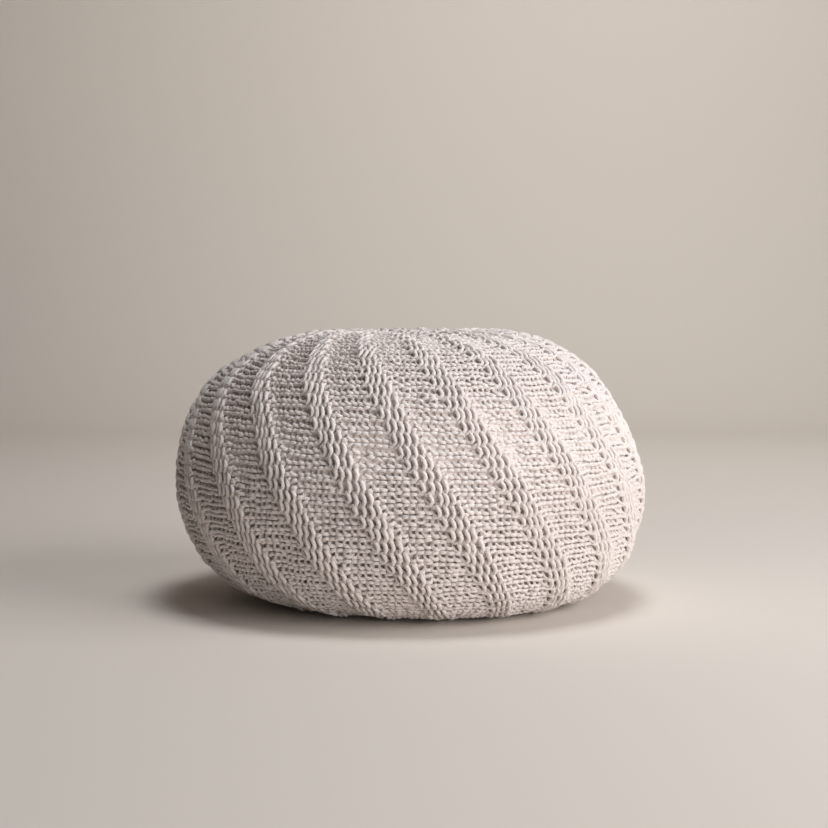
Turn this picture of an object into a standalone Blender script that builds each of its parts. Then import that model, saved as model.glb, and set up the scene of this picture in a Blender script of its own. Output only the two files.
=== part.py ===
"""A round knitted pouf: one filled seat whose cover has ribs that wind down its sides.

The pouf is a soft, flattened ball with a nearly level top and a flat foot.
Its profile is a short table of sections, measured as a reach from one point
in its middle. The knitted cover is drawn in at the centre of the top, and its
raised ribs follow the stitches: each row of stitches lies one stitch further
round than the row above it, so the ribs slant.

Units are metres, +Z is up, and the pouf stands on z = 0 with its front at -Y.
Angles round the pouf start at the front and grow towards +X.
"""

import math

import bpy
import numpy as np

# The filled body. "angle" is measured from straight up, in degrees. "reach" is
# the distance from the middle to the cover, and "lean" is how much further the
# seat reaches on its +X side and less on its -X side.
MIDDLE_HEIGHT = 0.145
TOP_SLOPE = math.radians(0.5)
SECTIONS = (
    dict(angle=0, reach=0.1410, lean=0.0000),
    dict(angle=20, reach=0.1520, lean=0.0020),
    dict(angle=40, reach=0.1840, lean=0.0030),
    dict(angle=55, reach=0.2100, lean=0.0015),
    dict(angle=70, reach=0.2320, lean=-0.0040),
    dict(angle=80, reach=0.2410, lean=-0.0025),
    dict(angle=90, reach=0.2495, lean=0.0005),
    dict(angle=100, reach=0.2525, lean=0.0025),
    dict(angle=110, reach=0.2515, lean=0.0050),
    dict(angle=125, reach=0.2340, lean=0.0063),
    dict(angle=140, reach=0.1940, lean=0.0056),
    dict(angle=160, reach=0.1620, lean=0.0030),
    dict(angle=180, reach=0.1500, lean=0.0000),
)

# The drawn-in centre of the top
CENTRE_RADIUS = 0.014
HOLLOW_RADIUS = 0.045
HOLLOW_DEPTH = 0.007

# The stitches that the ribs follow
STITCHES_ROUND = 220
NARROWEST_STITCH = 0.0053
TALLEST_STITCH = 0.0145
STITCH_AREA = 83.5e-6

# The ribs
RIBS = 20
RIB_HEIGHT = 0.0032
RIB_START = math.radians(8.7)
POINTS_PER_RIB = 6
RIB_POINTS = (0.0, 1.0, 1.0, 0.0, -0.12, -0.12)
RIB_FADE_IN = 0.030
RIB_FULL = 0.075

# Near the top and the foot the cover is drawn in unevenly, so there the ribs
# lie further apart at the front and closer together at the back.
FAN_SHARE = 0.10
FAN_MIDDLE = 0.315
FAN_START = 0.02
FAN_RANGE = 0.14

# The mesh and its surface
RINGS = 40
PROFILE_STEPS = 3600
SLOPE_STEP = 0.001
SHARP_ANGLE = math.radians(60)
COVER_COLOUR = (0.77, 0.71, 0.64, 1.0)
COVER_ROUGHNESS = 0.9


def smooth_curve(knots, values, wanted):
    """Cubic curve through the knots, level at its first and last one."""
    step = np.diff(knots)
    count = len(knots)
    system = np.zeros((count, count))
    right = np.zeros(count)
    slope = np.diff(values) / step
    system[0, :2] = (2 * step[0], step[0])
    right[0] = 6 * slope[0]
    system[-1, -2:] = (step[-1], 2 * step[-1])
    right[-1] = -6 * slope[-1]
    for row in range(1, count - 1):
        system[row, row - 1] = step[row - 1]
        system[row, row] = 2 * (step[row - 1] + step[row])
        system[row, row + 1] = step[row]
        right[row] = 6 * (slope[row] - slope[row - 1])
    bend = np.linalg.solve(system, right)
    left = np.clip(np.searchsorted(knots, wanted, side="right") - 1, 0, count - 2)
    gap = step[left]
    before = wanted - knots[left]
    after = knots[left + 1] - wanted
    curve = (bend[left] * after**3 + bend[left + 1] * before**3) / (6 * gap)
    curve += (values[left] / gap - bend[left] * gap / 6) * after
    curve += (values[left + 1] / gap - bend[left + 1] * gap / 6) * before
    return curve


def profile():
    """The mean profile from the top's centre to the foot's edge, by its length."""
    knots = np.radians([row["angle"] for row in SECTIONS])
    reach = np.array([row["reach"] for row in SECTIONS])
    lean = np.array([row["lean"] for row in SECTIONS])
    angle = np.linspace(0.0, math.pi, PROFILE_STEPS)
    distance = smooth_curve(knots, reach, angle)
    radius = distance * np.sin(angle)
    height = distance * np.cos(angle) + MIDDLE_HEIGHT
    above = height > 0
    steps = np.hypot(np.diff(radius), np.diff(height))
    length = np.concatenate([[0.0], np.cumsum(steps)])
    return {
        "length": length[above],
        "radius": radius[above],
        "height": height[above],
        "lean": smooth_curve(knots, lean, angle)[above],
        "angle": angle[above],
    }


def rib_turn(shape):
    """How far round the ribs have wound at each point of the profile."""
    radius = np.maximum(shape["radius"], NARROWEST_STITCH)
    stitch_angle = np.maximum(2 * math.pi / STITCHES_ROUND, NARROWEST_STITCH / radius)
    stitch_height = np.minimum(TALLEST_STITCH, STITCH_AREA / (stitch_angle * radius))
    rate = stitch_angle / stitch_height
    steps = np.diff(shape["length"]) * (rate[1:] + rate[:-1]) / 2
    turn = np.concatenate([[0.0], np.cumsum(steps)])
    widest = np.argmax(shape["radius"])
    return turn - turn[widest] + RIB_START


def smooth_step(value):
    """Ease from 0 to 1."""
    value = np.clip(value, 0.0, 1.0)
    return value * value * (3 - 2 * value)


def fanned(turn, length):
    """Angles round the pouf, spread at the front away from the widest ring."""
    spread = smooth_step((abs(length - FAN_MIDDLE) - FAN_START) / FAN_RANGE)
    return turn + FAN_SHARE * spread * np.sin(turn)


def rib_direction(shape, length):
    """The way a rib stands out: square to the cover above the widest ring, level below it."""
    lengths = (length - SLOPE_STEP, length + SLOPE_STEP)
    run = np.diff(np.interp(lengths, shape["length"], shape["radius"]))[0]
    drop = -np.diff(np.interp(lengths, shape["length"], shape["height"]))[0]
    if run <= 0:
        return 1.0, 0.0
    return drop / math.hypot(run, drop), run / math.hypot(run, drop)


def ring_points(shape, turn, length):
    """One ring of points round the pouf, with the ribs raised on it."""
    at = {name: np.interp(length, shape["length"], column) for name, column in shape.items()}
    columns = RIBS * POINTS_PER_RIB
    around = np.arange(columns) * 2 * math.pi / columns + np.interp(length, shape["length"], turn)
    around = fanned(around, length)

    outward, upward = rib_direction(shape, length)
    rise = np.tile(np.array(RIB_POINTS) - 1.0, RIBS) * RIB_HEIGHT
    rise = rise * smooth_step((at["radius"] - RIB_FADE_IN) / (RIB_FULL - RIB_FADE_IN))
    radius = at["radius"] + rise * outward + at["lean"] * np.sin(around) * np.sin(at["angle"]) ** 2
    hollow = HOLLOW_DEPTH * (1 - smooth_step(at["radius"] / HOLLOW_RADIUS))
    height = at["height"] + rise * upward - hollow - MIDDLE_HEIGHT
    height = height + at["lean"] * np.sin(around) * np.sin(at["angle"]) * np.cos(at["angle"])

    x = radius * np.sin(around)
    y = -radius * np.cos(around)
    tilted_x = x * math.cos(TOP_SLOPE) + height * math.sin(TOP_SLOPE)
    tilted_z = height * math.cos(TOP_SLOPE) - x * math.sin(TOP_SLOPE) + MIDDLE_HEIGHT
    return np.stack([tilted_x, y, tilted_z], axis=1)


def cover_mesh():
    """The whole pouf as one closed skin of rings, with a flat cap at either end."""
    shape = profile()
    turn = rib_turn(shape)
    widest = np.argmax(shape["radius"])
    first = np.interp(CENTRE_RADIUS, shape["radius"][:widest], shape["length"][:widest])
    last = shape["length"][-1]
    rings = [ring_points(shape, turn, length) for length in np.linspace(first, last, RINGS)]
    rings[0][:, 2] = rings[0][:, 2].mean()
    rings[-1][:, 2] = 0.0
    points = np.concatenate(rings)
    points[:, 2] = np.maximum(points[:, 2], 0.0)
    points[:, :2] -= (points[:, :2].max(axis=0) + points[:, :2].min(axis=0)) / 2

    columns = RIBS * POINTS_PER_RIB
    faces = [tuple(range(columns))]
    for ring in range(RINGS - 1):
        for column in range(columns):
            beside = (column + 1) % columns
            upper = ring * columns
            lower = upper + columns
            faces.append((upper + column, lower + column, lower + beside, upper + beside))
    foot = (RINGS - 1) * columns
    faces.append(tuple(foot + column for column in reversed(range(columns))))

    mesh = bpy.data.meshes.new("knitted_pouf")
    mesh.from_pydata([tuple(point) for point in points.tolist()], [], faces)
    mesh.validate()
    mesh.shade_smooth()
    mesh.set_sharp_from_angle(angle=SHARP_ANGLE)
    return mesh


def cover_material():
    """Thick cream cotton yarn."""
    material = bpy.data.materials.new("cream_cotton_knit")
    material.use_nodes = True
    shader = material.node_tree.nodes["Principled BSDF"]
    shader.inputs["Base Color"].default_value = COVER_COLOUR
    shader.inputs["Roughness"].default_value = COVER_ROUGHNESS
    shader.inputs["Metallic"].default_value = 0.0
    return material


def build_pouf():
    """The one solid: a filled seat in its ribbed cover."""
    mesh = cover_mesh()
    mesh.materials.append(cover_material())
    pouf = bpy.data.objects.new("knitted_pouf", mesh)
    bpy.context.scene.collection.objects.link(pouf)
    return pouf


for leftover in list(bpy.data.objects):
    bpy.data.objects.remove(leftover, do_unlink=True)

build_pouf()
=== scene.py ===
# %% [markdown]
# # A knitted pouf
# This notebook dresses a round, filled floor seat in its knitted cover. The
# solid that stands for it is only a smooth ball with slanting ribs. The real
# cover is thick cotton yarn, and every stitch of it can be seen from across a
# room, so the yarn is laid here loop by loop, as the knitter made it.
# First the finished solid is loaded. The yarn is meant to stay inside its box.

# %% Load the frame
import math

import bpy
import numpy as np
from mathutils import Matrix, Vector


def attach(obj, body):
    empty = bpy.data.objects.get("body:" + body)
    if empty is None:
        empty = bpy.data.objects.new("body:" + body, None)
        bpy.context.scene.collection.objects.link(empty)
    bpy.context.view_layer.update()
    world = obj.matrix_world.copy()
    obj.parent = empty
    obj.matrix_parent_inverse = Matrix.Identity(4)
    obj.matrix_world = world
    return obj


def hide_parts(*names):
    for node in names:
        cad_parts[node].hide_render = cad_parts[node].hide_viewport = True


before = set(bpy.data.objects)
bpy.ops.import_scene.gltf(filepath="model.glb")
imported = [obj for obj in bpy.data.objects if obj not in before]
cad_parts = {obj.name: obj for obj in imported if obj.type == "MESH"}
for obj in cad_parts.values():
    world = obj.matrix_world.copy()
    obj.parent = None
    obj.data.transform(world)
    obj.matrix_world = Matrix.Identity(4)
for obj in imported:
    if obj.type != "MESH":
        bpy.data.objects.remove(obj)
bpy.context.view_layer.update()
SOLID = "knitted_pouf"

# %% [markdown]
# ## The shape of the seat
# A soft round thing is easiest to draw as a profile that is turned round its
# middle. Each row of the table looks out from one point inside the seat at
# some angle from straight up, and says how far away the cover is. A smooth
# curve runs through the rows. Whatever would fall below the floor is pressed
# flat, which is just what happens to the filling. The "lean" makes the seat
# fuller on one side at that height, because no filled bag is perfectly round.
# Near the top and the foot the cover is drawn in unevenly, which spreads the
# ribs at the front, like a fan, and crowds them a little at the back.

# %% Sizes of the seat
MIDDLE_HEIGHT = 0.145
TOP_SLOPE = math.radians(0.5)
SECTIONS = (
    dict(angle=0, reach=0.1410, lean=0.0000),
    dict(angle=20, reach=0.1520, lean=0.0020),
    dict(angle=40, reach=0.1840, lean=0.0030),
    dict(angle=55, reach=0.2100, lean=0.0015),
    dict(angle=70, reach=0.2320, lean=-0.0040),
    dict(angle=80, reach=0.2410, lean=-0.0025),
    dict(angle=90, reach=0.2495, lean=0.0005),
    dict(angle=100, reach=0.2525, lean=0.0025),
    dict(angle=110, reach=0.2515, lean=0.0050),
    dict(angle=125, reach=0.2340, lean=0.0063),
    dict(angle=140, reach=0.1940, lean=0.0056),
    dict(angle=160, reach=0.1620, lean=0.0030),
    dict(angle=180, reach=0.1500, lean=0.0000),
)
HOLLOW_RADIUS = 0.045
HOLLOW_DEPTH = 0.007
PROFILE_STEPS = 3600
FAN_SHARE = 0.10
FAN_MIDDLE = 0.315
FAN_START = 0.02
FAN_RANGE = 0.14
TINY = 1e-9


# %% A smooth curve through the table
def smooth_curve(knots, values, wanted):
    """Cubic curve through the knots, level at its first and last one."""
    step = np.diff(knots)
    slope = np.diff(values) / step
    count = len(knots)
    system = np.zeros((count, count))
    right = np.zeros(count)
    system[0, :2] = (2 * step[0], step[0])
    system[-1, -2:] = (step[-1], 2 * step[-1])
    right[0] = 6 * slope[0]
    right[-1] = -6 * slope[-1]
    for row in range(1, count - 1):
        system[row, row - 1 : row + 2] = (step[row - 1], 2 * (step[row - 1] + step[row]), step[row])
        right[row] = 6 * (slope[row] - slope[row - 1])
    bend = np.linalg.solve(system, right)
    left = np.clip(np.searchsorted(knots, wanted, side="right") - 1, 0, count - 2)
    gap = step[left]
    before = wanted - knots[left]
    after = knots[left + 1] - wanted
    curve = (bend[left] * after**3 + bend[left + 1] * before**3) / (6 * gap)
    curve += (values[left] / gap - bend[left] * gap / 6) * after
    return curve + (values[left + 1] / gap - bend[left + 1] * gap / 6) * before


# %% The profile, measured along the cover
def seat_profile():
    """Columns of the profile, from the centre of the top to the centre of the foot."""
    knots = np.radians([row["angle"] for row in SECTIONS])
    angle = np.linspace(0.0, math.pi, PROFILE_STEPS)
    reach = smooth_curve(knots, np.array([row["reach"] for row in SECTIONS]), angle)
    lean = smooth_curve(knots, np.array([row["lean"] for row in SECTIONS]), angle)
    radius = reach * np.sin(angle)
    height = np.maximum(reach * np.cos(angle) + MIDDLE_HEIGHT, 0.0)
    run = np.gradient(radius)
    drop = -np.gradient(height)
    step = np.maximum(np.hypot(run, drop), TINY)
    length = np.concatenate([[0.0], np.cumsum(np.hypot(np.diff(radius), np.diff(height)))])
    hollow = 1 - smooth_step(radius / HOLLOW_RADIUS)
    hollow[angle > math.pi / 2] = 0.0
    return {
        "length": length,
        "radius": radius,
        "height": height - HOLLOW_DEPTH * hollow,
        "outward": drop / step,
        "upward": run / step,
        "side_lean": lean * np.sin(angle) ** 2,
        "rise_lean": lean * np.sin(angle) * np.cos(angle) * (height > 0),
    }


def smooth_step(value):
    """Ease from 0 to 1."""
    value = np.clip(value, 0.0, 1.0)
    return value * value * (3 - 2 * value)


PROFILE = seat_profile()
print("length of the profile", round(float(PROFILE["length"][-1]), 4), "m")


# %% [markdown]
# Everything that follows is placed by three numbers: how far round the seat,
# how far down the profile, and how far out from the cover. One function turns
# them into a place, for a single point or for a million of them at once.

# %% From stitches to places
def fanned(turn, length):
    """Angles round the seat, spread at the front away from the widest ring."""
    spread = smooth_step((np.abs(length - FAN_MIDDLE) - FAN_START) / FAN_RANGE)
    return turn + FAN_SHARE * spread * np.sin(turn)


def place(turn, length, lift):
    """Points at these angles round the seat, lengths down it and distances out of it."""
    turn = fanned(turn, length)
    at = {name: np.interp(length, PROFILE["length"], column) for name, column in PROFILE.items()}
    radius = at["radius"] + lift * at["outward"] + at["side_lean"] * np.sin(turn)
    height = at["height"] + lift * at["upward"] + at["rise_lean"] * np.sin(turn) - MIDDLE_HEIGHT
    x = radius * np.sin(turn)
    tilted_x = x * math.cos(TOP_SLOPE) + height * math.sin(TOP_SLOPE)
    tilted_z = height * math.cos(TOP_SLOPE) - x * math.sin(TOP_SLOPE) + MIDDLE_HEIGHT
    return np.stack([tilted_x, -radius * np.cos(turn), tilted_z], axis=-1)


SIDE_FROM = 0.2
SIDE_TO = 0.5
SIDE_STEPS = 121
SIDE_TURNS = 361


def middle_of_box():
    """The middle of the seat's plan, which the solid has at the origin."""
    turns = np.linspace(0, 2 * math.pi, SIDE_TURNS)
    turn, length = np.meshgrid(turns, np.linspace(SIDE_FROM, SIDE_TO, SIDE_STEPS))
    points = place(turn, length, 0.0).reshape(-1, 3)
    return (points.max(axis=0) + points.min(axis=0))[:2] / 2


PLAN_MIDDLE = middle_of_box()
print("plan middle", PLAN_MIDDLE.round(4))

# %% [markdown]
# ## The grid of stitches
# The cover is knitted sideways. One row of stitches runs from the centre of
# the top down to the centre of the foot, and 220 such rows lie side by side
# round the seat. Near the two centres there isn't room for them all, so a
# knitter turns back early on some rows. These are called short rows.
# Down the side the stitches lie in level rings. Where the seat is widest the
# cover is stretched round, so there the stitches are wider and less tall.

# %% Sizes of the stitches
ROWS = 220
NARROWEST_STITCH = 0.0053
TALLEST_STITCH = 0.0145
STITCH_AREA = 83.5e-6
RIBS = 20
ROWS_PER_RIB = ROWS // RIBS
PURL_ROWS = 4
RIB_START = math.radians(8.7)
RIB_HEIGHT = 0.0032
SHOULDER_START = 0.35
SHOULDER_WIDTH = 1.1
GRID_STEPS = 8
SEED = 11


# %% Rings of stitches down the profile
def stitch_rings():
    """Down the profile, how many stitches lie above each point and how far the ribs have wound."""
    radius = np.maximum(PROFILE["radius"], NARROWEST_STITCH)
    angle = np.maximum(2 * math.pi / ROWS, NARROWEST_STITCH / radius)
    tall = np.minimum(TALLEST_STITCH, STITCH_AREA / (angle * radius))
    step = np.diff(PROFILE["length"])
    rings = np.concatenate([[0.0], np.cumsum(step * (1 / tall[1:] + 1 / tall[:-1]) / 2)])
    rate = angle / tall
    wound = np.concatenate([[0.0], np.cumsum(step * (rate[1:] + rate[:-1]) / 2)])
    return rings, wound - wound[np.argmax(PROFILE["radius"])] + RIB_START


RING_AT, WOUND_AT = stitch_rings()
RINGS = int(RING_AT[-1])
print(RINGS, "rings of stitches")


# %% Short rows
def row_grid():
    """For each row and step down the rings: its angle, its width and its share of a full one."""
    ring = np.arange(0, RINGS * GRID_STEPS + 1) / GRID_STEPS
    radius = np.interp(ring, RING_AT, PROFILE["radius"])
    full_radius = ROWS * NARROWEST_STITCH / (2 * math.pi)
    golden = (math.sqrt(5) - 1) / 2
    ends_at = (np.arange(ROWS) * golden % 1.0) * full_radius
    share = smooth_step((radius[None, :] - ends_at[:, None]) / TALLEST_STITCH + 0.5)
    total = share.sum(axis=0)
    width = share * 2 * math.pi / total
    turn = np.cumsum(width, axis=0) - width / 2
    even = (np.arange(ROWS)[:, None] + 0.5) * 2 * math.pi / ROWS
    turn -= ((turn - even) * share).sum(axis=0) / total
    return turn, width, share


ROW_TURN, ROW_WIDTH, ROW_SHARE = row_grid()
print("stitches", int((ROW_SHARE[:, GRID_STEPS // 2 :: GRID_STEPS] > 0.5).sum()))


def row_value(grid, row, ring):
    """Reads a row's value at any place down the rings."""
    step = np.clip(ring * GRID_STEPS, 0, grid.shape[1] - 1.001)
    low = step.astype(int)
    part = step - low
    return grid[row, low] * (1 - part) + grid[row, low + 1] * part


# %% [markdown]
# ## Knit and purl
# A loop that is pulled through from behind shows its two legs, which make a V.
# That is a knit stitch. A loop that is pulled through from the front shows its
# round head and foot instead, and is a purl stitch. Here seven rows of knit
# and four rows of purl take turns, and purl rows stand up as a rib. Each ring
# is knitted one stitch further round than the ring above, so ribs slant.

# %% Which stitch goes where
def rib_phase(turn, ring):
    """Place across the rib pattern in stitches: 0 to 4 is the rib, 4 to 11 the flat panel."""
    wound = np.interp(ring, RING_AT, WOUND_AT)
    rib_angle = 2 * math.pi / RIBS
    stitches = (turn - wound + PHASE_SHIFT) / rib_angle * ROWS_PER_RIB + PURL_ROWS / 2
    return np.mod(stitches, ROWS_PER_RIB)


def centred_phase():
    """The shift that puts the rows' middles halfway between the pattern's steps."""
    ring = RINGS // 2 + 0.5
    wound = np.interp(ring, RING_AT, WOUND_AT)
    row_angle = 2 * math.pi / ROWS
    middle = row_value(ROW_TURN, 0, np.array(ring))
    off = ((middle - wound) / row_angle - 0.5) % 1.0
    return -off * row_angle if off < 0.5 else (1 - off) * row_angle


PHASE_SHIFT = centred_phase()
print("pattern shifted by", round(math.degrees(PHASE_SHIFT), 3), "degrees")


def is_knit(phase):
    """1 where a stitch is knit and 0 where it is purl."""
    return np.where(np.mod(phase, ROWS_PER_RIB) < PURL_ROWS, 0.0, 1.0)


def rib_rise(phase, wider=0.0):
    """0 in the panels and 1 on a rib, with soft shoulders; wider is in stitches at each side."""
    half = ROWS_PER_RIB / 2
    from_middle = np.abs(np.mod(phase - PURL_ROWS / 2 + half, ROWS_PER_RIB) - half)
    past_edge = from_middle - wider - PURL_ROWS / 2
    return 1 - smooth_step((past_edge + SHOULDER_START) / SHOULDER_WIDTH)


# %% [markdown]
# ## One stitch after another
# A knitted loop looks like the Greek letter omega, here lying on its side. The
# yarn comes from its foot on the left, runs right along the upper leg, turns
# round the head and comes back along the lower leg. It also dives in and out
# of the cover, because it has to pass through the loop before it and let the
# next loop pass through it. One table draws the loop in twelve points, once
# for a knit stitch and once for a purl stitch. "across" is counted in row
# widths, "down" in rings and "front" from 1 at the front to -1 at the back,
# and the fourth number is how thick the yarn is there, pulled tight or slack.
# The foot follows the stitch's own kind. The head is held by the next row, so
# it follows the kind of the stitch there, and that "share" grows in between.
# Where knit meets purl the whole leg stays in front, held from both ends.

# %% The shape of one loop
LOOP = (
    dict(share=0.0, knit=(-0.62, 0.00, -1.00, 0.76), purl=(-0.78, 0.00, 0.20, 0.90)),
    dict(share=0.0, knit=(-0.58, 0.10, -0.30, 0.80), purl=(-0.68, 0.15, -0.50, 0.90)),
    dict(share=0.2, knit=(-0.36, 0.06, 0.85, 0.84), purl=(-0.40, 0.26, -1.00, 0.90)),
    dict(share=0.5, knit=(0.04, 0.02, 1.10, 0.88), purl=(-0.14, 0.16, -0.80, 0.90)),
    dict(share=0.8, knit=(0.42, 0.04, 0.65, 0.84), purl=(0.02, -0.02, 0.50, 0.90)),
    dict(share=1.0, knit=(0.56, 0.25, -0.95, 0.72), purl=(0.18, 0.18, 0.92, 0.96)),
    dict(share=1.0, knit=(0.56, 0.50, -0.95, 0.72), purl=(0.42, 0.42, 1.00, 1.00)),
    dict(share=1.0, knit=(0.42, 0.68, 0.50, 0.84), purl=(0.54, 0.70, 0.98, 1.00)),
    dict(share=0.8, knit=(-0.02, 0.65, 1.05, 0.90), purl=(0.36, 0.98, 0.75, 0.94)),
    dict(share=0.5, knit=(-0.40, 0.59, 0.75, 0.84), purl=(0.06, 0.96, -0.78, 0.90)),
    dict(share=0.2, knit=(-0.53, 0.38, -0.30, 0.70), purl=(-0.36, 0.80, -1.00, 0.90)),
    dict(share=0.0, knit=(-0.56, 0.16, -0.70, 0.72), purl=(-0.66, 0.86, -0.50, 0.90)),
)
EDGE_FORWARD = 0.75
YARN_RADIUS = 0.0025
WIDEST_ROW = 0.0072
DIVE = 0.0021
TUCK = 0.004
FLOOR_GAP = 1.06

# %% [markdown]
# Real knitting is never quite even, so slow waves that run round the seat and
# a small chance change for each stitch are added. Sizes across are in row
# widths, sizes down in rings, and lifts in metres.

# %% Slow unevenness
ACROSS_CHANCE = 0.07
DOWN_STRETCH = 0.05
DOWN_CHANCE = 0.042
FRONT_CHANCE = 0.11
LIFT_CHANCE = 0.00025
THICK_CHANCE = 0.05
DOWN_WAVES = 0.05
ACROSS_WAVES = 0.12
LIFT_WAVES = 0.0004
NARROW_ROOM = 0.6
WAVES = 7
FEWEST_ROUND = 3
MOST_ROUND = 26
SLOWEST_DOWN = 0.15
FASTEST_DOWN = 0.9

chance = np.random.default_rng(SEED)


def slow_waves(turn, ring):
    """A smooth uneven pattern between about -1 and 1 that closes round the seat."""
    total = np.zeros(np.broadcast(turn, ring).shape)
    for _ in range(WAVES):
        around = chance.integers(FEWEST_ROUND, MOST_ROUND)
        down = chance.uniform(SLOWEST_DOWN, FASTEST_DOWN)
        total += np.sin(around * turn + down * ring + chance.uniform(0, 2 * math.pi))
    return total / math.sqrt(WAVES)


def small_chance(size):
    """One chance change for each stitch."""
    return size * chance.standard_normal((ROWS, RINGS, 1))


# %% The path of the yarn
def yarn_grid():
    """Places of all stitches: arrays of rows x rings x points."""
    row = np.arange(ROWS)[:, None, None]
    ring = np.arange(RINGS)[None, :, None]
    middle = row_value(ROW_TURN, row, ring + 0.5)
    own = rib_phase(middle, ring + 0.5)
    step = row_value(ROW_WIDTH, row, ring + 0.5) / (2 * math.pi / ROWS)
    this = is_knit(own)
    following = is_knit(own + np.maximum(step, 0.5))

    share = np.array([point["share"] for point in LOOP])
    knit = np.array([point["knit"] for point in LOOP])
    purl = np.array([point["purl"] for point in LOOP])
    knitted = this * (1 - share) + following * share
    shape = knitted[..., None] * knit + (1 - knitted[..., None]) * purl
    across = shape[..., 0] * (1 + small_chance(ACROSS_CHANCE)) + small_chance(ACROSS_CHANCE)
    down = ring + 0.5 + (shape[..., 1] - 0.5) * (1 + small_chance(DOWN_STRETCH))
    down = down + small_chance(DOWN_CHANCE)
    held = this * (1 - following) * 4 * share * (1 - share)
    front = (shape[..., 2] + EDGE_FORWARD * held) * (1 + small_chance(FRONT_CHANCE))

    turn = row_value(ROW_TURN, row, down)
    width = row_value(ROW_WIDTH, row, down)
    down = down + DOWN_WAVES * slow_waves(turn, down)
    turn = turn + width * (across + ACROSS_WAVES * slow_waves(turn, down))
    length = np.interp(down, RING_AT, PROFILE["length"])
    rise = rib_rise(rib_phase(turn, down))
    room = width * np.interp(length, PROFILE["length"], PROFILE["radius"]) / WIDEST_ROW
    room = np.clip(room, NARROW_ROOM, 1.0) * np.ones(rise.shape)
    lift = -YARN_RADIUS - RIB_HEIGHT * (1 - rise * room**2) + DIVE * room * (front - 1)
    lift = lift + LIFT_WAVES * slow_waves(turn, down) + small_chance(LIFT_CHANCE)
    thick = (shape[..., 3] + small_chance(THICK_CHANCE)) * np.sqrt(room)
    worked = row_value(ROW_SHARE, row, ring + 0.5)[:, :, 0]
    grid = {"turn": turn, "length": length, "lift": lift, "front": front, "thick": thick}
    return grid, worked


GRID, WORKED = yarn_grid()
print("yarn points", GRID["turn"].size)


# %% [markdown]
# Under the flat foot nobody sees the loops, so every second point of the yarn
# is left out there. That keeps the whole cover light enough to handle. At both
# ends of a row the yarn is tucked in behind the cover.

# %% Cut the yarn into rows
LEAST_WORKED = 0.2
TUCK_STITCHES = 0.7


def yarn_rows():
    """One chain of points for each row, with where it lies, how deep and how thick."""
    rows = []
    for row in range(ROWS):
        worked = np.flatnonzero(WORKED[row] > LEAST_WORKED)
        chain = {name: grid[row, worked[0] : worked[-1] + 1].ravel() for name, grid in GRID.items()}
        steps = np.arange(chain["lift"].size)
        from_end = np.minimum(steps, steps[::-1]) / len(LOOP)
        lift = chain["lift"] - TUCK * (1 - smooth_step(from_end / TUCK_STITCHES))
        points = place(chain["turn"], chain["length"], lift)
        points[:, :2] -= PLAN_MIDDLE
        points[:, 2] = np.maximum(points[:, 2], YARN_RADIUS * chain["thick"] * FLOOR_GAP)
        under = np.interp(chain["length"], PROFILE["length"], PROFILE["height"]) <= 0
        kept = ~under | (steps % 2 == 0)
        kept[-1] = True
        rows.append({name: column[kept] for name, column in dict(chain, points=points).items()})
    return rows


YARN = yarn_rows()
print("rows of yarn", len(YARN), "points", sum(len(row["points"]) for row in YARN))

# %% [markdown]
# ## From a line to a yarn
# A chain of points has no thickness. Geometry Nodes turn it into yarn: the
# chain becomes a curve, a small round outline is swept along it, and its ends
# are closed. A random number makes the yarn a little thicker here and thinner
# there. Two things are stored on the way, because the material needs them: how
# far along the yarn a point is, and on which side of the yarn.


# %% The sweep as a node tree
def new_tree(name, inputs):
    """An empty geometry tree with a geometry socket in and out and these named inputs."""
    tree = bpy.data.node_groups.new(name, "GeometryNodeTree")
    tree.interface.new_socket("Geometry", in_out="INPUT", socket_type="NodeSocketGeometry")
    tree.interface.new_socket("Geometry", in_out="OUTPUT", socket_type="NodeSocketGeometry")
    sockets = {}
    for label, kind in inputs:
        socket = tree.interface.new_socket(label, in_out="INPUT", socket_type=kind)
        sockets[label] = socket.identifier
    return tree, sockets


def link(tree, source, target):
    """Joins two sockets."""
    tree.links.new(source, target)


def store(tree, geometry, name, kind, value):
    """Keeps a value on the points under this name."""
    node = tree.nodes.new("GeometryNodeStoreNamedAttribute")
    node.data_type = kind
    node.inputs["Name"].default_value = name
    link(tree, geometry, node.inputs["Geometry"])
    link(tree, value, node.inputs["Value"])
    return node.outputs["Geometry"]


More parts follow.
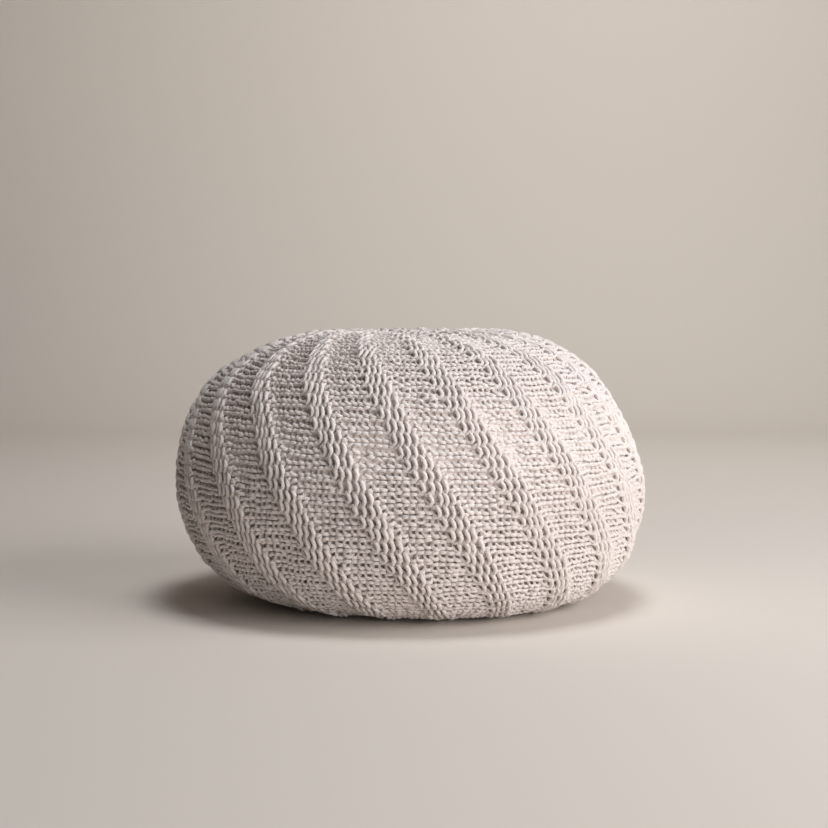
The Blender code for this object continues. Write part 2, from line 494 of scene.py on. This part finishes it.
def yarn_tree():
    """Sweeps a round outline along every chain of points."""
    tree, sockets = new_tree("yarn_sweep", (
        ("Yarn Radius", "NodeSocketFloat"),
        ("Sides", "NodeSocketInt"),
        ("Unevenness", "NodeSocketFloat"),
        ("Seed", "NodeSocketInt"),
        ("Material", "NodeSocketMaterial"),
    ))
    nodes = tree.nodes
    given = nodes.new("NodeGroupInput")
    chain = nodes.new("GeometryNodeMeshToCurve")
    link(tree, given.outputs["Geometry"], chain.inputs["Mesh"])
    along = nodes.new("GeometryNodeSplineParameter")
    path = store(tree, chain.outputs["Curve"], "along", "FLOAT", along.outputs["Length"])

    random = nodes.new("FunctionNodeRandomValue")
    random.data_type = "FLOAT"
    random.inputs["Min"].default_value = -1.0
    random.inputs["Max"].default_value = 1.0
    link(tree, given.outputs["Seed"], random.inputs["Seed"])
    change = nodes.new("ShaderNodeMath")
    change.operation = "MULTIPLY_ADD"
    link(tree, random.outputs[1], change.inputs[0])
    link(tree, given.outputs["Unevenness"], change.inputs[1])
    plain = nodes.new("GeometryNodeInputNamedAttribute")
    plain.data_type = "FLOAT"
    plain.inputs["Name"].default_value = "thick"
    link(tree, plain.outputs["Attribute"], change.inputs[2])
    thick = nodes.new("GeometryNodeSetCurveRadius")
    link(tree, path, thick.inputs["Curve"])
    link(tree, change.outputs[0], thick.inputs["Radius"])

    outline = nodes.new("GeometryNodeCurvePrimitiveCircle")
    link(tree, given.outputs["Sides"], outline.inputs["Resolution"])
    link(tree, given.outputs["Yarn Radius"], outline.inputs["Radius"])
    where = nodes.new("GeometryNodeInputPosition")
    unit = nodes.new("ShaderNodeVectorMath")
    unit.operation = "NORMALIZE"
    link(tree, where.outputs[0], unit.inputs[0])
    outline_end = store(tree, outline.outputs["Curve"], "around", "FLOAT_VECTOR", unit.outputs[0])

    sweep = nodes.new("GeometryNodeCurveToMesh")
    sweep.inputs["Fill Caps"].default_value = True
    link(tree, thick.outputs["Curve"], sweep.inputs["Curve"])
    link(tree, outline_end, sweep.inputs["Profile Curve"])
    size = nodes.new("GeometryNodeInputRadius")
    link(tree, size.outputs[0], sweep.inputs["Scale"])
    smooth = nodes.new("GeometryNodeSetShadeSmooth")
    link(tree, sweep.outputs["Mesh"], smooth.inputs["Geometry"])
    real = nodes.new("GeometryNodeRealizeInstances")
    link(tree, smooth.outputs["Geometry"], real.inputs["Geometry"])
    paint = nodes.new("GeometryNodeSetMaterial")
    link(tree, real.outputs["Geometry"], paint.inputs["Geometry"])
    link(tree, given.outputs["Material"], paint.inputs["Material"])
    out = nodes.new("NodeGroupOutput")
    link(tree, paint.outputs["Geometry"], out.inputs["Geometry"])
    return tree, sockets


YARN_TREE, YARN_SOCKETS = yarn_tree()
print("tree", YARN_TREE.name, "inputs", list(YARN_SOCKETS))

# %% [markdown]
# ## The look of cotton
# Cotton yarn is matt and slightly furry. Its fibres wind round it, so fine
# slanting lines run along it, and a few of them catch the light. The colour
# is never quite one cream: some stretches are a little warmer or paler. Both
# effects are made once, as a group of shader nodes, and each material sets its
# own sizes on it.


# %% Shader group for twisted fibres
GROOVE_WIDTH = 0.35
PLY_ROUNDNESS = 0.5
FIBRE_RELIEF = 0.6


def shader_group(name, inputs, outputs):
    """An empty group of shader nodes with these named number inputs and outputs."""
    group = bpy.data.node_groups.new(name, "ShaderNodeTree")
    for label, kind, value in inputs:
        socket = group.interface.new_socket(label, in_out="INPUT", socket_type=kind)
        if value is not None:
            socket.default_value = value
    for label, kind in outputs:
        group.interface.new_socket(label, in_out="OUTPUT", socket_type=kind)
    return group


def math_node(tree, operation, *values):
    """One arithmetic node; a value is a socket or a number."""
    node = tree.nodes.new("ShaderNodeMath")
    node.operation = operation
    for position, value in enumerate(values):
        if isinstance(value, (int, float)):
            node.inputs[position].default_value = value
        else:
            tree.links.new(value, node.inputs[position])
    return node.outputs[0]


def noise_node(tree, vector, scale, detail, roughness=0.5):
    """Soft clouds at this scale."""
    node = tree.nodes.new("ShaderNodeTexNoise")
    node.inputs["Detail"].default_value = detail
    node.inputs["Roughness"].default_value = roughness
    tree.links.new(vector, node.inputs["Vector"])
    if isinstance(scale, (int, float)):
        node.inputs["Scale"].default_value = scale
    else:
        tree.links.new(scale, node.inputs["Scale"])
    return node.outputs[0]


def twist_group():
    """Plies and fibres that wind round a yarn."""
    group = shader_group(
        "twisted_fibres",
        (
            ("Along", "NodeSocketFloat", 0.0),
            ("Around", "NodeSocketVector", None),
            ("Position", "NodeSocketVector", None),
            ("Plies", "NodeSocketFloat", 3.0),
            ("Twist Length", "NodeSocketFloat", 0.022),
            ("Fibre Scale", "NodeSocketFloat", 900.0),
        ),
        (
            ("Height", "NodeSocketFloat"),
            ("Fibre", "NodeSocketFloat"),
            ("Groove", "NodeSocketFloat"),
        ),
    )
    given = group.nodes.new("NodeGroupInput").outputs
    split = group.nodes.new("ShaderNodeSeparateXYZ")
    group.links.new(given["Around"], split.inputs[0])
    angle = math_node(group, "ARCTAN2", split.outputs[1], split.outputs[0])
    turns = math_node(group, "DIVIDE", given["Along"], given["Twist Length"])
    wound = math_node(group, "MULTIPLY_ADD", turns, 2 * math.pi, angle)
    ply = math_node(group, "MULTIPLY", wound, given["Plies"])
    wave = math_node(group, "COSINE", math_node(group, "MULTIPLY", ply, 0.5))
    round_ply = math_node(group, "ABSOLUTE", wave)
    # The groove is 1 in the furrows between the plies; the yarn material paints shade there with
    # it.
    groove = math_node(group, "SUBTRACT", 1.0, math_node(group, "POWER", round_ply, GROOVE_WIDTH))
    fibre = noise_node(group, given["Position"], given["Fibre Scale"], 3.0, 0.65)
    ply_height = math_node(group, "POWER", round_ply, PLY_ROUNDNESS)
    height = math_node(group, "MULTIPLY_ADD", fibre, FIBRE_RELIEF, ply_height)
    out = group.nodes.new("NodeGroupOutput")
    group.links.new(height, out.inputs["Height"])
    group.links.new(fibre, out.inputs["Fibre"])
    group.links.new(groove, out.inputs["Groove"])
    return group


def mottle_group():
    """Slow changes of colour over the surface."""
    group = shader_group(
        "mottled_cotton",
        (
            ("Position", "NodeSocketVector", None),
            ("Patch Scale", "NodeSocketFloat", 9.0),
            ("Fleck Scale", "NodeSocketFloat", 160.0),
        ),
        (("Patches", "NodeSocketFloat"), ("Flecks", "NodeSocketFloat")),
    )
    given = group.nodes.new("NodeGroupInput").outputs
    patches = noise_node(group, given["Position"], given["Patch Scale"], 2.0)
    flecks = noise_node(group, given["Position"], given["Fleck Scale"], 2.0)
    out = group.nodes.new("NodeGroupOutput")
    group.links.new(patches, out.inputs["Patches"])
    group.links.new(flecks, out.inputs["Flecks"])
    return group


TWIST = twist_group()
MOTTLE = mottle_group()
print("groups", TWIST.name, MOTTLE.name)

# %% The cotton materials
YARN_PALE = (0.86, 0.79, 0.765, 1.0)
YARN_WARM = (0.79, 0.715, 0.68, 1.0)
# Painted shade: a darker cream, laid into the twist grooves and onto yarn that lies deep behind the
# cover.
PAINTED_SHADE_CREAM = (0.62, 0.55, 0.49, 1.0)
GROOVE_PAINTED_SHADE = 0.3
DEPTH_PAINTED_SHADE = 0.16
SMOOTHEST = 0.78
FIBRE_ROUGH = 0.15
BUMP_DISTANCE = 0.0008


def mix_colour(tree, factor, first, second):
    """Mixes two colours; each is a socket or a colour."""
    node = tree.nodes.new("ShaderNodeMix")
    node.data_type = "RGBA"
    tree.links.new(factor, node.inputs["Factor"])
    for label, value in (("A", first), ("B", second)):
        socket = [s for s in node.inputs if s.name == label and s.type == "RGBA"][0]
        if isinstance(value, tuple):
            socket.default_value = value
        else:
            tree.links.new(value, socket)
    return [s for s in node.outputs if s.type == "RGBA"][0]


def attribute(tree, name, output):
    """Reads a value stored on the mesh."""
    node = tree.nodes.new("ShaderNodeAttribute")
    node.attribute_name = name
    return node.outputs[output]


def place_group(tree, group, values):
    """Puts a shader group into a material and gives it values or links."""
    node = tree.nodes.new("ShaderNodeGroup")
    node.node_tree = group
    for label, value in values.items():
        if isinstance(value, (int, float)):
            node.inputs[label].default_value = value
        else:
            tree.links.new(value, node.inputs[label])
    return node.outputs


def cotton_yarn():
    """Cream cotton with twist and fibres, with a little painted shade in the twist grooves and
    where the yarn lies deep.
    """
    material = bpy.data.materials.new("cream_cotton_yarn")
    material.use_nodes = True
    tree = material.node_tree
    shader = tree.nodes["Principled BSDF"]
    spot = tree.nodes.new("ShaderNodeTexCoord").outputs["Object"]
    twist = place_group(tree, TWIST, {
        "Along": attribute(tree, "along", "Fac"),
        "Around": attribute(tree, "around", "Vector"),
        "Position": spot,
        "Plies": 3.0,
        "Twist Length": 0.024,
        "Fibre Scale": 1300.0,
    })
    mottle = place_group(tree, MOTTLE, {"Position": spot, "Patch Scale": 8.0, "Fleck Scale": 170.0})
    patches = math_node(tree, "MULTIPLY", mottle["Patches"], 0.5)
    blend = math_node(tree, "MULTIPLY_ADD", mottle["Flecks"], 0.5, patches)
    body = mix_colour(tree, blend, YARN_PALE, YARN_WARM)
    # Painted shade: the cream is drawn towards the darker cream in the twist grooves and where the
    # yarn runs deep, towards the back of the cover.
    half_front = math_node(tree, "MULTIPLY", attribute(tree, "front", "Fac"), 0.5)
    back = math_node(tree, "SUBTRACT", 0.5, half_front)
    deep = math_node(tree, "MULTIPLY", back, DEPTH_PAINTED_SHADE)
    painted_shade = math_node(tree, "MULTIPLY_ADD", twist["Groove"], GROOVE_PAINTED_SHADE, deep)
    colour = mix_colour(tree, painted_shade, body, PAINTED_SHADE_CREAM)
    tree.links.new(colour, shader.inputs["Base Color"])
    rough = math_node(tree, "MULTIPLY_ADD", twist["Fibre"], FIBRE_ROUGH, SMOOTHEST)
    tree.links.new(rough, shader.inputs["Roughness"])
    bump = tree.nodes.new("ShaderNodeBump")
    bump.inputs["Strength"].default_value = 0.55
    bump.inputs["Distance"].default_value = BUMP_DISTANCE
    tree.links.new(twist["Height"], bump.inputs["Height"])
    tree.links.new(bump.outputs["Normal"], shader.inputs["Normal"])
    shader.inputs["Specular IOR Level"].default_value = 0.25
    shader.inputs["Sheen Weight"].default_value = 0.25
    shader.inputs["Sheen Roughness"].default_value = 0.6
    return material


def filling_cloth():
    """The same cotton as a plain dense cloth, seen only through the gaps between stitches."""
    material = bpy.data.materials.new("cotton_filling_cloth")
    material.use_nodes = True
    tree = material.node_tree
    shader = tree.nodes["Principled BSDF"]
    spot = tree.nodes.new("ShaderNodeTexCoord").outputs["Object"]
    sizes = {"Position": spot, "Patch Scale": 25.0, "Fleck Scale": 900.0}
    mottle = place_group(tree, MOTTLE, sizes)
    colour = mix_colour(tree, mottle["Patches"], YARN_WARM, YARN_PALE)
    tree.links.new(colour, shader.inputs["Base Color"])
    bump = tree.nodes.new("ShaderNodeBump")
    bump.inputs["Strength"].default_value = 0.4
    bump.inputs["Distance"].default_value = BUMP_DISTANCE
    tree.links.new(mottle["Flecks"], bump.inputs["Height"])
    tree.links.new(bump.outputs["Normal"], shader.inputs["Normal"])
    shader.inputs["Roughness"].default_value = 0.95
    shader.inputs["Specular IOR Level"].default_value = 0.1
    return material


COTTON = cotton_yarn()
CLOTH = filling_cloth()
print("materials", COTTON.name, CLOTH.name)

# %% [markdown]
# ## Lay the yarn
# The cover is made in five equal parts, like the segments of an orange, so
# that no piece is too heavy to handle. Each part has four ribs.

# %% The cover in five parts
PARTS = 5
SIDES = 5
UNEVENNESS = 0.05


def set_modifier(modifier, sockets, values):
    """Sets a tree's inputs by their identifiers."""
    for label, value in values.items():
        modifier[sockets[label]] = value


def chain_mesh(name, rows):
    """Chains of points joined by edges, with the stored values on them."""
    points = np.concatenate([row["points"] for row in rows])
    first = np.arange(len(points) - 1)
    last_of_row = np.cumsum([len(row["points"]) for row in rows])[:-1] - 1
    first = np.delete(first, last_of_row)
    edges = np.stack([first, first + 1], axis=1)
    mesh = bpy.data.meshes.new(name)
    mesh.vertices.add(len(points))
    mesh.edges.add(len(edges))
    mesh.vertices.foreach_set("co", points.astype(np.float32).ravel())
    mesh.edges.foreach_set("vertices", edges.astype(np.int32).ravel())
    # front also goes to the yarn material, where it sets the painted shade on deep-lying yarn;
    # thick sets the yarn's radius.
    for label in ("front", "thick"):
        values = np.concatenate([row[label] for row in rows])
        stored = mesh.attributes.new(label, "FLOAT", "POINT")
        stored.data.foreach_set("value", values.astype(np.float32))
    mesh.update()
    return mesh


def make_real(thing):
    """Turns the modifiers' result into the object's own plain mesh."""
    graph = bpy.context.evaluated_depsgraph_get()
    mesh = bpy.data.meshes.new_from_object(
        thing.evaluated_get(graph), preserve_all_data_layers=True, depsgraph=graph)
    thing.modifiers.clear()
    thing.data = mesh
    mesh.name = thing.name
    return thing


def lay_part(number):
    """One part of the cover as real yarn."""
    rows = YARN[number * ROWS // PARTS : (number + 1) * ROWS // PARTS]
    name = f"knit_segment_{number + 1}"
    thing = bpy.data.objects.new(name, chain_mesh(name, rows))
    bpy.context.scene.collection.objects.link(thing)
    modifier = thing.modifiers.new("yarn_sweep", "NODES")
    modifier.node_group = YARN_TREE
    set_modifier(modifier, YARN_SOCKETS, {
        "Yarn Radius": YARN_RADIUS,
        "Sides": SIDES,
        "Unevenness": UNEVENNESS,
        "Seed": SEED + number,
        "Material": COTTON,
    })
    return make_real(thing)


COVER = [lay_part(number) for number in range(PARTS)]
for part in COVER:
    print(part.name, sum(len(face.vertices) - 2 for face in part.data.polygons), "triangles")

# %% [markdown]
# ## The filled seat under the knitting
# Through the small gaps between the stitches one sees what is inside. It is a
# closed padded form, a little smaller than the cover, with the same profile.
# Here the form is first drawn by code, a few millimetres too small. Then it is
# given an even skin and blown up as cloth: the pressure of the filling rounds
# off the hollows beside the ribs. No point may move further than a small
# limit, because the knitting holds the filling in.

# %% The padded form, drawn too small
FILL_DEPTH = -0.0096
FILL_RIB = 0.0032
FILL_WIDER = 0.45
FILL_LOWEST = 0.0035
FILL_START = 0.012
FILL_TURNS = 220
FILL_RINGS = 96


def padded_form():
    """A closed round form under the yarn."""
    turn = np.arange(FILL_TURNS) * 2 * math.pi / FILL_TURNS
    last_length = float(PROFILE["length"][-1])
    length = np.linspace(FILL_START, last_length - FILL_START, FILL_RINGS)
    down = np.interp(length, PROFILE["length"], RING_AT)[:, None]
    lift = FILL_DEPTH + FILL_RIB * rib_rise(rib_phase(turn[None, :], down), FILL_WIDER)
    grid = place(turn[None, :], length[:, None], lift)
    grid[:, :, :2] -= PLAN_MIDDLE
    grid[:, :, 2] = np.maximum(grid[:, :, 2], FILL_LOWEST)
    ends = grid[[0, -1]].mean(axis=1)
    points = np.concatenate([grid.reshape(-1, 3), ends])
    faces = []
    for ring in range(FILL_RINGS - 1):
        for column in range(FILL_TURNS):
            beside = (column + 1) % FILL_TURNS
            upper = ring * FILL_TURNS
            lower = upper + FILL_TURNS
            faces.append((upper + column, lower + column, lower + beside, upper + beside))
    top = len(points) - 2
    last = (FILL_RINGS - 1) * FILL_TURNS
    for column in range(FILL_TURNS):
        beside = (column + 1) % FILL_TURNS
        faces.append((top, column, beside))
        faces.append((top + 1, last + beside, last + column))
    mesh = bpy.data.meshes.new("padded_seat")
    mesh.from_pydata([tuple(point) for point in points.tolist()], [], faces)
    thing = bpy.data.objects.new("padded_seat", mesh)
    bpy.context.scene.collection.objects.link(thing)
    return thing


SEAT = padded_form()
print(SEAT.name, len(SEAT.data.polygons), "faces")

# %% Blow it up as cloth
CLOTH_VOXEL = 0.007
CLOTH_PRESSURE = 4.0
CLOTH_FRAMES = 20
CLOTH_LIMIT = 0.0020


def mesh_points(mesh):
    """The mesh's points as an array."""
    points = np.zeros(len(mesh.vertices) * 3, dtype=np.float32)
    mesh.vertices.foreach_get("co", points)
    return points.reshape(-1, 3)


def even_skin(thing, size):
    """Gives a closed form an even skin of small squares."""
    remesh = thing.modifiers.new("even_skin", "REMESH")
    remesh.mode = "VOXEL"
    remesh.voxel_size = size
    return make_real(thing)


def blow_up(thing):
    """Fills the form like a bag, with each point kept near its start."""
    start = mesh_points(thing.data)
    cloth = thing.modifiers.new("filling", "CLOTH")
    cloth.settings.use_pressure = True
    cloth.settings.uniform_pressure_force = CLOTH_PRESSURE
    cloth.settings.effector_weights.gravity = 0.0
    cloth.collision_settings.use_collision = False
    cloth.point_cache.frame_start = 1
    cloth.point_cache.frame_end = CLOTH_FRAMES
    for frame_number in range(1, CLOTH_FRAMES + 1):
        bpy.context.scene.frame_set(frame_number)
    make_real(thing)
    bpy.context.scene.frame_set(1)
    move = mesh_points(thing.data) - start
    far = np.linalg.norm(move, axis=1, keepdims=True)
    move *= np.minimum(1.0, CLOTH_LIMIT / np.maximum(far, TINY))
    points = start + move
    points[:, 2] = np.maximum(points[:, 2], FILL_LOWEST)
    thing.data.vertices.foreach_set("co", points.ravel())
    thing.data.update()
    return float(np.median(far)), float(np.linalg.norm(move, axis=1).mean())


even_skin(SEAT, CLOTH_VOXEL)
print("swelling, free and as kept", blow_up(SEAT))
SEAT.data.shade_smooth()
SEAT.data.materials.clear()
SEAT.data.materials.append(CLOTH)
print(SEAT.name, sum(len(face.vertices) - 2 for face in SEAT.data.polygons), "triangles")

# %% [markdown]
# ## Floor, light and camera
# A sweep of pale paper curves up behind the seat. One large lamp, like a
# window, stands to the right and a little in front, so that every stitch
# throws a small shadow. A weaker one above lets the left side show its relief,
# a low one at the right front brightens the foot, and a fourth, out of the
# picture, lights only the wall.

# %% The paper sweep
SWEEP_FRONT = -2.6
SWEEP_BACK = 2.2
SWEEP_BEND = 0.9
SWEEP_HEIGHT = 3.0
SWEEP_HALF_WIDTH = 4.0
BEND_STEPS = 24


def paper_sweep():
    """Floor, bend and wall in one sheet."""
    profile = [(SWEEP_FRONT, 0.0)]
    for step in range(BEND_STEPS + 1):
        angle = math.pi / 2 * step / BEND_STEPS
        height = SWEEP_BEND * (1 - math.cos(angle))
        profile.append((SWEEP_BACK + SWEEP_BEND * math.sin(angle), height))
    profile.append((SWEEP_BACK + SWEEP_BEND, SWEEP_HEIGHT))
    points = [(side * SWEEP_HALF_WIDTH, y, z) for y, z in profile for side in (-1, 1)]
    faces = [(2 * i, 2 * i + 1, 2 * i + 3, 2 * i + 2) for i in range(len(profile) - 1)]
    mesh = bpy.data.meshes.new("paper_sweep")
    mesh.from_pydata(points, [], faces)
    mesh.shade_smooth()
    thing = bpy.data.objects.new("paper_sweep", mesh)
    bpy.context.scene.collection.objects.link(thing)
    return thing


PAPER_LIGHT = (0.80, 0.74, 0.68, 1.0)
PAPER_SHADE = (0.78, 0.72, 0.655, 1.0)


def paper_material():
    """Warm pale paper with very faint clouds."""
    material = bpy.data.materials.new("pale_paper")
    material.use_nodes = True
    tree = material.node_tree
    shader = tree.nodes["Principled BSDF"]
    spot = tree.nodes.new("ShaderNodeTexCoord").outputs["Object"]
    mottle = place_group(tree, MOTTLE, {"Position": spot, "Patch Scale": 0.8, "Fleck Scale": 30.0})
    colour = mix_colour(tree, mottle["Patches"], PAPER_LIGHT, PAPER_SHADE)
    tree.links.new(colour, shader.inputs["Base Color"])
    shader.inputs["Roughness"].default_value = 0.9
    shader.inputs["Specular IOR Level"].default_value = 0.15
    return material


PAPER = paper_sweep()
PAPER.data.materials.append(paper_material())
print("stage", PAPER.name)

# %% The lamps
LAMPS = (
    dict(name="window_lamp", position=(1.95, -0.95, 1.08), aim=(0.0, 0.0, 0.12), size=(2.2, 1.3),
         power=36.5, colour=(0.985, 0.985, 1.0)),
    dict(name="ceiling_lamp", position=(0.20, -0.20, 2.30), aim=(0.0, 0.0, 0.10), size=(0.7, 0.7),
         power=20.5, colour=(0.965, 0.98, 1.0)),
    dict(name="low_lamp", position=(1.90, -2.45, 0.50), aim=(0.0, 0.0, 0.08), size=(2.6, 1.1),
         power=38.5, colour=(1.0, 0.97, 0.955)),
    dict(name="wall_lamp", position=(0.60, 1.50, 2.00), aim=(0.2, 3.1, 0.4), size=(1.6, 1.6),
         power=16.5, colour=(1.0, 0.98, 0.955)),
)
SKY_STRENGTH = 0.03
SKY_COLOUR = (1.0, 0.85, 0.72, 1.0)


def soft_lamp(name, position, aim, size, power, colour):
    """A flat soft lamp of this width and height that faces a point."""
    data = bpy.data.lights.new(name, "AREA")
    data.shape = "RECTANGLE"
    data.size = size[0]
    data.size_y = size[1]
    data.energy = power
    data.color = colour
    lamp = bpy.data.objects.new(name, data)
    lamp.location = position
    facing = Vector(aim) - Vector(position)
    lamp.rotation_euler = facing.to_track_quat("-Z", "Y").to_euler()
    bpy.context.scene.collection.objects.link(lamp)
    return lamp


def sky_light(colour, strength):
    """Even light from all round."""
    world = bpy.data.worlds.new("studio")
    world.use_nodes = True
    shade = world.node_tree.nodes["Background"]
    shade.inputs["Color"].default_value = colour
    shade.inputs["Strength"].default_value = strength
    bpy.context.scene.world = world


for lamp in LAMPS:
    soft_lamp(**lamp)
sky_light(SKY_COLOUR, SKY_STRENGTH)
bpy.context.scene.view_settings.view_transform = "Standard"
print("lamps", [lamp["name"] for lamp in LAMPS])

# %% [markdown]
# The camera stands two metres away, a little above the seat, and its long lens
# keeps the shape free of distortion. It looks slightly over the seat, so that
# the seat sits low in the picture with quiet space above it.

# %% The camera
CAMERA_DISTANCE = 2.0
CAMERA_RISE = math.radians(5.5)
FOCAL_PIXELS = 1862.0
PICTURE_PIXELS = 828
SEAT_LEFT_PIXELS = 4.8
SEAT_LOW_PIXELS = 48.0
SENSOR = 36.0


def make_camera():
    """The camera at the photo's height and distance."""
    data = bpy.data.cameras.new("camera")
    data.sensor_width = SENSOR
    data.lens = FOCAL_PIXELS / PICTURE_PIXELS * SENSOR
    data.clip_start = 0.1
    data.clip_end = 30.0
    camera = bpy.data.objects.new("camera", data)
    back = CAMERA_DISTANCE * math.cos(CAMERA_RISE)
    up = CAMERA_DISTANCE * math.sin(CAMERA_RISE)
    camera.location = (-PLAN_MIDDLE[0], -back - PLAN_MIDDLE[1], MIDDLE_HEIGHT + up)
    pitch = CAMERA_RISE - math.atan(SEAT_LOW_PIXELS / FOCAL_PIXELS)
    yaw = math.atan(SEAT_LEFT_PIXELS / FOCAL_PIXELS)
    camera.rotation_euler = (math.pi / 2 - pitch, 0.0, -yaw)
    bpy.context.scene.collection.objects.link(camera)
    bpy.context.scene.camera = camera
    return camera


CAMERA = make_camera()
print("lens", round(CAMERA.data.lens, 2), "mm")

# %% [markdown]
# ## Tie to the body
# Every piece is tied to the seat's one body, and the smooth solid is hidden.

# %% Tie the pieces to the frame
for piece in [*COVER, SEAT]:
    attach(piece, "root")
    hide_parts(SOLID)
